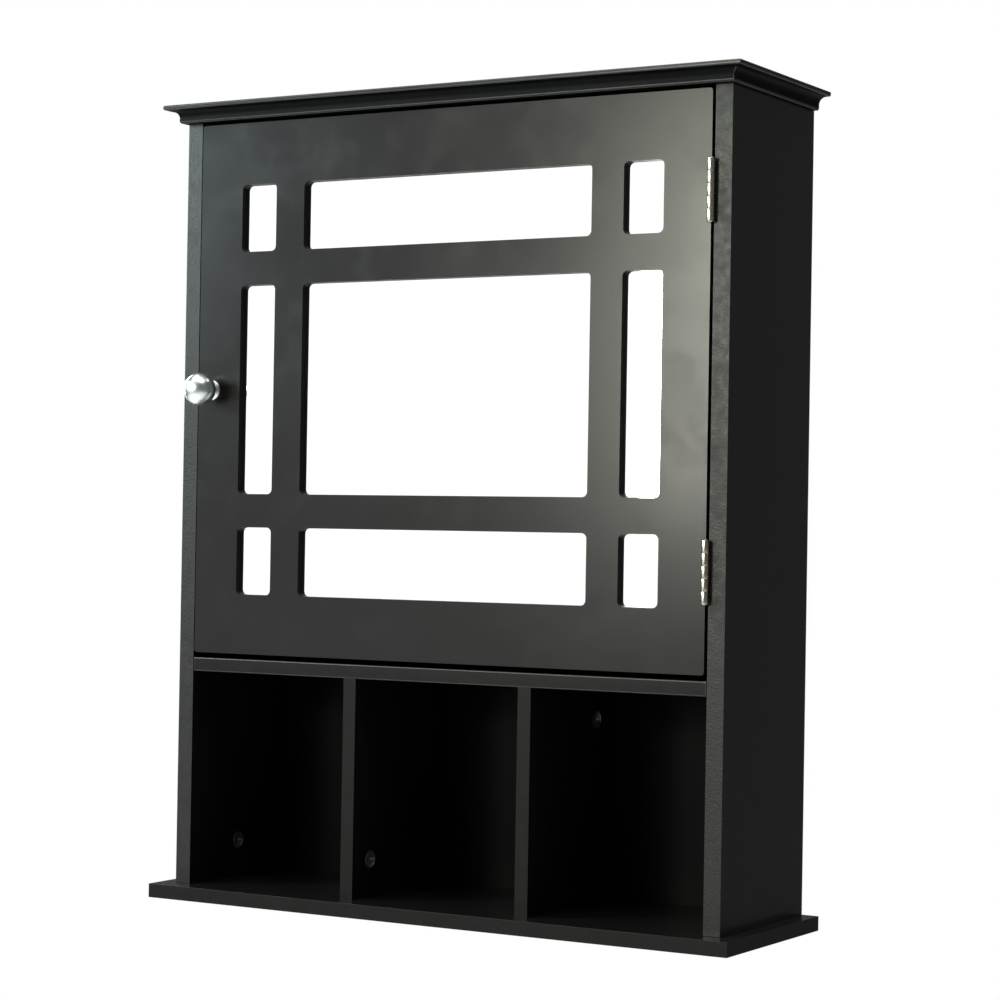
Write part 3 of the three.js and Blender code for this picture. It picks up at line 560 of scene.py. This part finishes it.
def screw_place(name, along):
    """The middle of the outer face of a screw's head, from its box; along is the way it faces."""
    low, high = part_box(name)
    middle = (low + high) / 2
    axis = [abs(c) for c in along].index(1)
    middle[axis] = high[axis] if along[axis] > 0 else low[axis]
    return middle


# shank radius, length, head radius and head height of the pan-head screws
PAN_HEADS = {"backing": (1.3, 9, 2.6, 1.8), "catch": (1.3, 12, 2.6, 1.8),
             "strike": (1.3, 8, 2.4, 1.4), "knob": (2.0, 23, 3.9, 2.4)}
screws = sorted(name for name in nodes if "screw" in name)
for name in screws:
    body = "door" if "door" in name or name.startswith(("backing", "knob", "strike")) else "cabinet"
    if name.startswith("hinge"):
        along = (1, 0, 0) if "door" in name else (-1, 0, 0)
        place(name + "_turned", flat_head(1.5, 12), screw_place(name, along), along, body,
              nickel, [name])
    else:
        along = (1, 0, 0) if name.startswith("catch") else (0, 1, 0)
        sizes = PAN_HEADS[name.split("_")[0]]
        seat = screw_place(name, along) - Vector(along) * sizes[3] * MM
        place(name + "_turned", pan_head(*sizes), seat, along, body,
              zinc_screw, [name])
print("turned", len(screws), "screws")

# %% [markdown]
# ## Cams
# Each board end is pulled tight by a cam: a zinc disc let into a bore, turned with a
# screwdriver until it grips the head of a bolt. What shows is a grey disc with a raised rim, a
# dished face and a cross. The CAD cam keeps its bolt slot for the fit, and only the face is
# ever seen, so the disc is spun again with a crisp rim and recess.

# %% Cam discs
CAM_FACES = {"left_bottom": 1, "left_top": 1, "right_bottom": -1, "right_top": -1,
             "divider_left": 1, "divider_right": 1}
for joint, faces in CAM_FACES.items():
    low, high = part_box("cam_" + joint)
    middle = (low + high) / 2
    depth = (high.x - low.x) / MM
    middle.x = high.x if faces > 0 else low.x
    profile = [(0, -depth), (7.1, -depth), (7.5, -depth + 0.4), (7.5, -0.35), (7.3, -0.08),
               (7.1, 0), (6.5, 0), (6.3, -0.1), (6.15, -0.45), (5.9, -0.55), (5.2, -0.55)]
    place("cam_disc_" + joint, lathe(profile, 64, recess=(4.2, 0.85, 1.9)), middle,
          (faces, 0, 0), "cabinet", zinc_cast, ["cam_" + joint])
print("spun", len(CAM_FACES), "cam discs")

# %% [markdown]
# ## Shelf pins
# The loose shelf rests on four stepped pins pushed into the side panels. The step stops each
# pin at the panel's face, and its edges are rounded by tumbling.

# %% Shelf pins
for side, way in (("left", 1), ("right", -1)):
    for end in ("front", "rear"):
        name = f"shelf_pin_{side}_{end}"
        low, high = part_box(name)
        middle = (low + high) / 2
        half = (high.x - low.x) / 2 / MM
        profile = [(0, -half), (2.0, -half), (2.35, -half + 0.2), (2.5, -half + 0.6), (2.5, 0),
                   (3.45, 0), (3.6, 0.15), (3.6, 1.05), (3.45, 1.2), (2.5, 1.2),
                   (2.5, half - 0.6), (2.35, half - 0.2), (2.0, half), (0, half)]
        place(name + "_turned", lathe(profile, 40), middle, (way, 0, 0), "cabinet",
              nickel, [name])
print("turned 4 shelf pins")

# %% [markdown]
# ## Butt hinges
# A butt hinge is two stamped leaves whose ends are rolled into knuckles round a loose pin. The
# eye reads it by the thin dark lines between knuckles and the small domes of the pin at each
# end. Each leaf here is a plate with true countersunk holes, the knuckles it owns as hollow
# turned rings with softened rims, and a strap from each ring to the plate.

# %% Leaves, knuckles and pins
def plate(outline, thick, holes):
    """A flat plate from local z 0 to thick, in mm. Each hole is (x, y, low radius, high
    radius), so a countersink is a hole whose two radii differ."""
    mesh = bmesh.new()
    levels = []
    for height, pick in ((0, 2), (thick, 3)):
        loops = [[mesh.verts.new((x * MM, y * MM, height * MM)) for x, y in outline]]
        for hole in holes:
            turn = [math.radians(9 * i) for i in range(40)]
            loops.append([mesh.verts.new(((hole[0] + hole[pick] * math.cos(a)) * MM,
                                          (hole[1] + hole[pick] * math.sin(a)) * MM,
                                          height * MM)) for a in turn])
        edges = [edge for loop in loops for edge in loop_edges(mesh, loop)]
        bmesh.ops.triangle_fill(mesh, use_beauty=True, normal=(0, 0, 1), edges=edges)
        levels.append(loops)
    for lower, upper in zip(*levels):
        skin(mesh, lower, upper)
    bmesh.ops.recalc_face_normals(mesh, faces=mesh.faces)
    return mesh


KNUCKLES = 5
KNUCKLE_GAP = 0.12                       # air at each end of a knuckle, mm
BARREL = 3.2                             # outer radius of the rolled barrel
BORE = 1.3
LEAF_THICK = 1.0
SCREW_LINE, SCREW_SPREAD = -148.5, 15    # y of the screws, and how far from the middle
SINK, HOLE = 3.0, 1.7                    # countersink and hole radii
LEAF_X = {"cabinet": 249.0, "door": 247.3}
PANEL_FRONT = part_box("side_panel_left")[0].y / MM


def rolled_leaf(low, high, axis, plate_x, first, sink):
    """One leaf in frame coordinates, in mm: plate, straps and every other knuckle."""
    rear, bottom, top = high.y / MM, low.z / MM, high.z / MM
    middle = (bottom + top) / 2
    step = (top - bottom) / KNUCKLES
    leaf = plate([(PANEL_FRONT, bottom), (rear, bottom), (rear, top), (PANEL_FRONT, top)],
                 LEAF_THICK, [(SCREW_LINE, middle + way * SCREW_SPREAD, *sink) for way in (1, -1)])
    stand = Matrix(((0, 0, 1, plate_x * MM), (1, 0, 0, 0), (0, 1, 0, 0), (0, 0, 0, 1)))
    parts = [(leaf, stand)]
    for k in range(first, KNUCKLES, 2):
        start, tall = bottom + k * step + KNUCKLE_GAP, step - 2 * KNUCKLE_GAP
        ring = lathe([(BORE, 0), (2.9, 0), (3.12, 0.07), (BARREL, 0.28), (BARREL, tall - 0.28),
                      (3.12, tall - 0.07), (2.9, tall), (BORE, tall)], 56, hollow=True)
        parts.append((ring, Matrix.Translation((axis.x, axis.y, start * MM))))
        back_of_ring, tuck = axis.y / MM + 2.6, PANEL_FRONT + 0.5
        strap = plate([(back_of_ring, start), (tuck, start), (tuck, start + tall),
                       (back_of_ring, start + tall)], LEAF_THICK, [])
        parts.append((strap, stand))
    whole = bmesh.new()
    for part, where in parts:
        data = bpy.data.meshes.new("part")
        part.to_mesh(data)
        part.free()
        data.transform(where)
        whole.from_mesh(data)
        bpy.data.meshes.remove(data)
    bmesh.ops.recalc_face_normals(whole, faces=whole.faces)
    return whole


for end in ("top", "bottom"):
    pin_low, pin_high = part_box(f"hinge_{end}_pin")
    axis = (pin_low + pin_high) / 2
    for body, first, sink in (("cabinet", 0, (SINK, HOLE)), ("door", 1, (HOLE, SINK))):
        name = f"hinge_{end}_{body}_leaf"
        low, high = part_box(name)
        made = rolled_leaf(low, high, axis, LEAF_X[body], first, sink)
        place(name + "_rolled", made, (0, 0, 0), (0, 0, 1), body, nickel,
              [name])
    half = (pin_high.z - pin_low.z) / 2 / MM
    dome = [(2.2 * math.cos(a), half - 0.9 + 0.9 * math.sin(a))
            for a in [math.radians(15 * i) for i in range(6)]]
    profile = ([(0, -half)] + [(r, -h) for r, h in reversed(dome)]
               + [(1.2, -half + 0.9), (1.2, half - 0.9)] + dome + [(0, half)])
    place(f"hinge_{end}_pin_turned", lathe(profile, 48), axis, (0, 0, 1), "cabinet",
          nickel, [f"hinge_{end}_pin"])
print("rolled 4 leaves on 2 pins")

# %% [markdown]
# ## Stage, light and camera
# The cabinet hangs on a wall, so the floor lies where a bathroom floor would, 1.2 m below it.
# The room is a plain white studio. Satin black shows nothing of its own: what the eye reads is
# the room mirrored in it. A white wall stands to the front left, which the mirror shows, the
# right side stays dim, and two softboxes in front lay a broad sheen over the right of the door.
# A cool box on the left lights the left edges, one behind it outlines the knob, and a wide
# ceiling panel keeps the floor pale. The background stays white for the camera through the
# light path, so it need not flood the sides.

# %% Floor and room light
FLOOR_HALF, FLOOR_DROP = 4.0, 1.2        # metres
floor_data = bpy.data.meshes.new("floor")
floor_mesh = bmesh.new()
bmesh.ops.create_grid(floor_mesh, x_segments=8, y_segments=8, size=FLOOR_HALF)
floor_mesh.to_mesh(floor_data)
floor_mesh.free()
floor = bpy.data.objects.new("floor", floor_data)
floor.location = (0, 0, cad_low.z - FLOOR_DROP)
bpy.context.scene.collection.objects.link(floor)
floor_look, floor_tree, floor_shader = finish("pale_floor", {"Roughness": 0.8})
floor_place = add(floor_tree, "TexCoord").outputs["Object"]
floor_cloud = add(floor_tree, "TexNoise", {"Scale": every(300), "Detail": 2.0},
                  {"Vector": floor_place})
floor_tone = add(floor_tree, "Mix", {COLOUR_A: linear("#f4f4f2"), COLOUR_B: linear("#efefec")},
                 {0: floor_cloud.outputs["Fac"]}, data_type="RGBA")
floor_tree.links.new(floor_tone.outputs[COLOUR_OUT], floor_shader.inputs["Base Color"])
floor_data.materials.append(floor_look)
floor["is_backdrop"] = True


def toward(azimuth, elevation):
    """Unit vector from the cabinet; azimuth 0 is straight in front and grows to the right."""
    a, e = math.radians(azimuth), math.radians(elevation)
    return Vector((math.sin(a) * math.cos(e), -math.cos(a) * math.cos(e), math.sin(e)))


world = bpy.data.worlds.new("white_studio")
bpy.context.scene.world = world
world.use_nodes = True
sky = world.node_tree
sky.nodes.clear()
way = add(sky, "TexCoord").outputs["Generated"]
facing = add(sky, "VectorMath", {1: toward(-31, 13)}, {0: way}, operation="DOT_PRODUCT")
wide = add(sky, "MapRange", {"From Min": 0.72, "From Max": 0.95, "To Min": 0.12, "To Max": 1.2},
           {"Value": facing.outputs["Value"]}, interpolation_type="SMOOTHSTEP")
ray = add(sky, "LightPath")
level = add(sky, "Math", links={0: wide.outputs[0], 1: ray.outputs["Is Camera Ray"]},
            operation="MAXIMUM")
back = add(sky, "Background", {"Color": (1.0, 1.0, 1.0, 1.0)}, {"Strength": level.outputs[0]})
add(sky, "OutputWorld", links={"Surface": back.outputs[0]})

middle_of_all = (cad_low + cad_high) / 2


def softbox(name, azimuth, elevation, distance, width, height, watts, colour):
    data = bpy.data.lights.new(name, "AREA")
    data.shape = "RECTANGLE"
    data.size, data.size_y = width, height
    data.energy = watts
    data.color = linear(colour)[:3]
    light = bpy.data.objects.new(name, data)
    away = toward(azimuth, elevation)
    light.location = middle_of_all + away * distance
    light.rotation_mode = "QUATERNION"
    light.rotation_quaternion = away.to_track_quat("Z", "Y")
    bpy.context.scene.collection.objects.link(light)
    return light


# azimuth and elevation in degrees, distance, width and height in metres, watts, colour
softbox("sheen_box", -15.5, 12, 3.0, 0.7, 0.4, 26, "#fbffe9")
softbox("glow_box", -20.5, 4.5, 3.0, 0.35, 0.5, 14, "#fffff0")
softbox("left_box", -52, 19, 3.0, 0.7, 1.2, 78, "#d8f0f4")
softbox("rim_box", -112, 12, 2.6, 1.8, 1.6, 52, "#f2f8ff")
softbox("ceiling_box", 0, 90, 3.6, 5.0, 5.0, 250, "#ffffff")

# %% [markdown]
# The camera is a 96 mm lens on a 36 mm sensor, a little over two metres out and 30 degrees to
# the right, which shows the front and one side together in a long, calm perspective. Its
# direction is built from yaw, pitch and roll, because a camera on a tripod is rarely dead level.

# %% Camera
YAW, PITCH, ROLL = math.radians(30.441), math.radians(0.615), math.radians(0.955)
TRIPOD = Vector((1.1688, -2.0437, cad_low.z + 0.3280))
ahead = Vector((-math.sin(YAW) * math.cos(PITCH), math.cos(YAW) * math.cos(PITCH),
                math.sin(PITCH)))
right = Vector((math.cos(YAW), math.sin(YAW), 0))
up = right.cross(ahead)
rolled_right = math.cos(ROLL) * right + math.sin(ROLL) * up
rolled_up = math.cos(ROLL) * up - math.sin(ROLL) * right
camera_data = bpy.data.cameras.new("camera")
camera_data.sensor_width = 36.0          # full frame
camera_data.lens = 96.15
camera = bpy.data.objects.new("camera", camera_data)
camera.matrix_world = Matrix((
    (rolled_right.x, rolled_up.x, -ahead.x, TRIPOD.x),
    (rolled_right.y, rolled_up.y, -ahead.y, TRIPOD.y),
    (rolled_right.z, rolled_up.z, -ahead.z, TRIPOD.z),
    (0, 0, 0, 1)))
bpy.context.scene.collection.objects.link(camera)
bpy.context.scene.camera = camera
bpy.context.scene.view_settings.view_transform = "Standard"
print("camera stands", round((camera.location - middle_of_all).length, 2), "m away")

# %% [markdown]
# ## The finished size
# Rounding only takes material away, so the finished model should not have grown past its CAD box;
# its box is printed here, to set against the CAD box printed at the start.

# %% Size and finish
bpy.context.view_layer.update()
low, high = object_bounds()
print("visual box in mm:", [round(side / MM, 1) for side in high - low])
